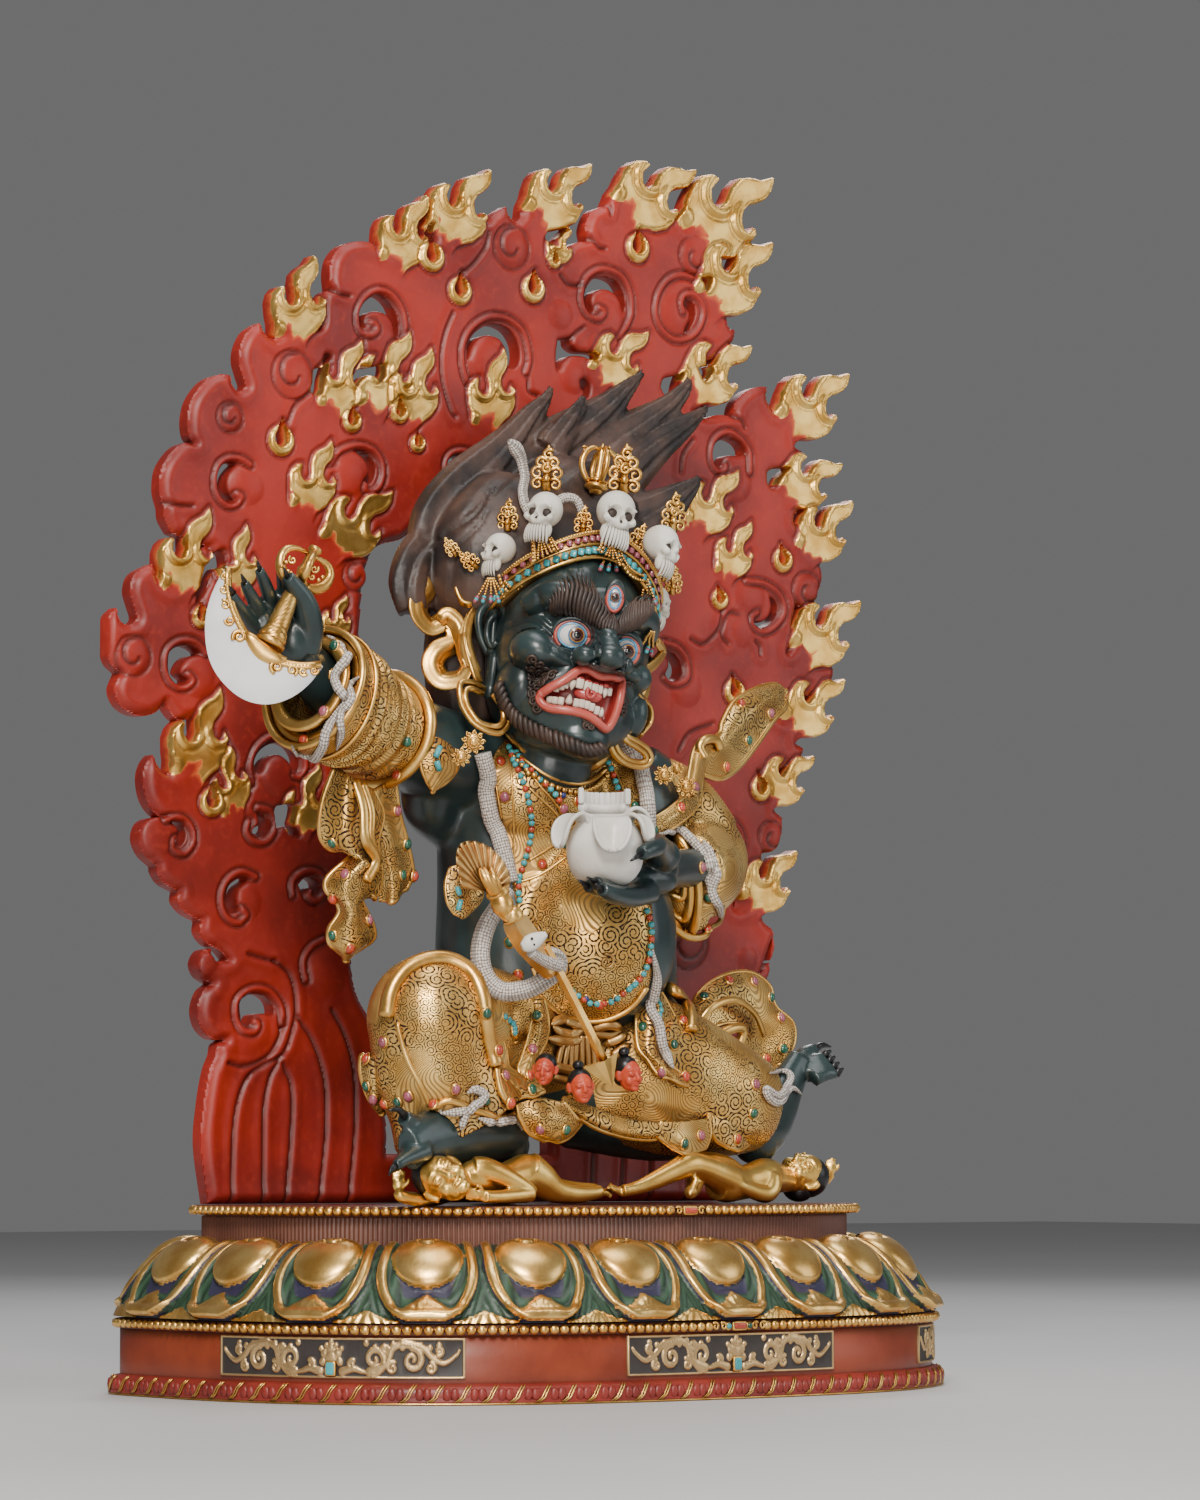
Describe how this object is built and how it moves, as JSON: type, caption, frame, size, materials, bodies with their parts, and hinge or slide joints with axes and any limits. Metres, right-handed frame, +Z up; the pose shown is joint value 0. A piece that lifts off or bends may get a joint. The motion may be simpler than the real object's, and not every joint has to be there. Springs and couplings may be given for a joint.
{
  "type": "wrathful guardian figure",
  "caption": "Squatting wrathful guardian figure in robes with skull crown, chopper and skull cup, on a lotus plinth in front of a pierced flaming aureole.",
  "frame": {"origin": "on the underside of the plinth, on the line across it where its plan is widest, half way along that line", "axes": "+Z up, the figure faces -Y, +X to the right as seen from the front"},
  "size_m": [0.6619, 0.3191, 0.836],
  "materials": {
    "plinth_lacquer": "red-brown lacquer with gilt petals, beads and scrolls",
    "aureole_lacquer": "red lacquer with gilt flame tips",
    "figure_gilt": "gilt robes chased with dark scrollwork, skin painted green-black",
    "crown_gilt": "gilt band and leaves with white skulls and inlaid stones",
    "white_paint": "matt white paint",
    "gold": "polished gilding"
  },
  "bodies": {
    "root": {"plinth": "plinth_lacquer", "aureole": "aureole_lacquer", "figure": "figure_gilt", "crown": "crown_gilt", "chopper": "white_paint", "skull_cup": "white_paint", "club": "gold", "lying_left": "gold", "lying_right": "gold"}
  },
  "joints": []
}
